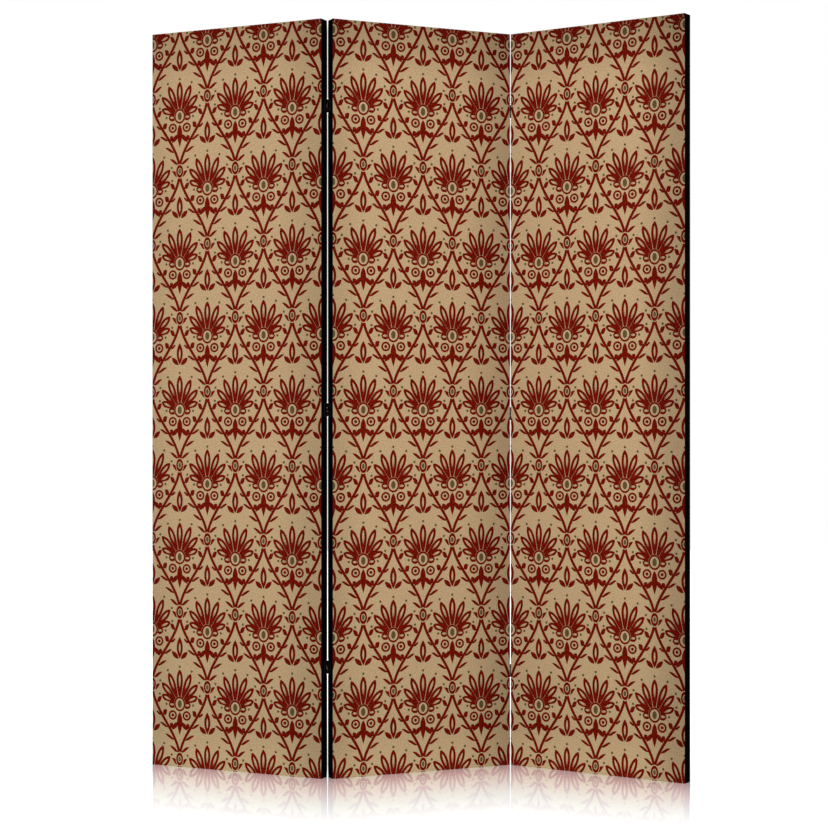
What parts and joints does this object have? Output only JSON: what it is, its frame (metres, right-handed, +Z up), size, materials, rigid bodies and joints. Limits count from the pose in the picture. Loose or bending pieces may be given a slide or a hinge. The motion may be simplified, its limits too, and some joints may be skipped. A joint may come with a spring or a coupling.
{
  "type": "folding screen",
  "caption": "Free-standing folding screen: printed canvas panels on timber frames, joined edge to edge by small butt hinges so that they fold zigzag.",
  "frame": {"origin": "middle of the standing screen's footprint, on the floor", "axes": "+Z up, +X along the screen's run to the right as seen from the printed side, -Y towards the viewer of the printed side"},
  "size_m": [1.229, 0.3128, 1.72],
  "materials": {
    "printed_canvas": "matte woven canvas with a printed pattern, edges printed black",
    "backing_cloth": "matte non-woven cloth",
    "pine": "planed, unfinished",
    "beech": "plain",
    "staple_steel": "galvanised wire",
    "hinge_steel": "black, satin",
    "hinge_pin": "black, satin",
    "screw_steel": "black oxide, satin"
  },
  "bodies": {
    "left_panel": {"left_panel_left_stile": "pine", "left_panel_right_stile": "pine", "left_panel_top_rail": "pine", "left_panel_bottom_rail": "pine", "left_panel_upper_cross_rail": "pine", "left_panel_lower_cross_rail": "pine", "left_panel_dowels": "beech", "left_panel_printed_canvas": "printed_canvas", "left_panel_canvas_staples": "staple_steel", "left_panel_backing_cloth": "backing_cloth", "left_panel_backing_staples": "staple_steel", "left_fold_top_hinge_moving_leaf": "hinge_steel", "left_fold_top_hinge_pin": "hinge_pin", "left_fold_middle_hinge_moving_leaf": "hinge_steel", "left_fold_middle_hinge_pin": "hinge_pin", "left_fold_bottom_hinge_moving_leaf": "hinge_steel", "left_fold_bottom_hinge_pin": "hinge_pin", "left_panel_hinge_screws": "screw_steel"},
    "middle_panel": {"middle_panel_left_stile": "pine", "middle_panel_right_stile": "pine", "middle_panel_top_rail": "pine", "middle_panel_bottom_rail": "pine", "middle_panel_upper_cross_rail": "pine", "middle_panel_lower_cross_rail": "pine", "middle_panel_dowels": "beech", "middle_panel_printed_canvas": "printed_canvas", "middle_panel_canvas_staples": "staple_steel", "middle_panel_backing_cloth": "backing_cloth", "middle_panel_backing_staples": "staple_steel", "left_fold_top_hinge_fixed_leaf": "hinge_steel", "left_fold_middle_hinge_fixed_leaf": "hinge_steel", "left_fold_bottom_hinge_fixed_leaf": "hinge_steel", "right_fold_top_hinge_fixed_leaf": "hinge_steel", "right_fold_middle_hinge_fixed_leaf": "hinge_steel", "right_fold_bottom_hinge_fixed_leaf": "hinge_steel", "middle_panel_left_hinge_screws": "screw_steel", "middle_panel_right_hinge_screws": "screw_steel"},
    "right_panel": {"right_panel_left_stile": "pine", "right_panel_right_stile": "pine", "right_panel_top_rail": "pine", "right_panel_bottom_rail": "pine", "right_panel_upper_cross_rail": "pine", "right_panel_lower_cross_rail": "pine", "right_panel_dowels": "beech", "right_panel_printed_canvas": "printed_canvas", "right_panel_canvas_staples": "staple_steel", "right_panel_backing_cloth": "backing_cloth", "right_panel_backing_staples": "staple_steel", "right_fold_top_hinge_moving_leaf": "hinge_steel", "right_fold_top_hinge_pin": "hinge_pin", "right_fold_middle_hinge_moving_leaf": "hinge_steel", "right_fold_middle_hinge_pin": "hinge_pin", "right_fold_bottom_hinge_moving_leaf": "hinge_steel", "right_fold_bottom_hinge_pin": "hinge_pin", "right_panel_hinge_screws": "screw_steel"}
  },
  "joints": [
    {"name": "left_fold", "type": "hinge", "parent": "middle_panel", "child": "left_panel", "pos_m": [-0.19947, -0.04796, 0.86], "axis": [0, 0, -1], "range_deg": [-54, 128]},
    {"name": "right_fold", "type": "hinge", "parent": "middle_panel", "child": "right_panel", "pos_m": [0.22847, 0.10197, 0.86], "axis": [0, 0, -1], "range_deg": [-62, 120]}
  ]
}
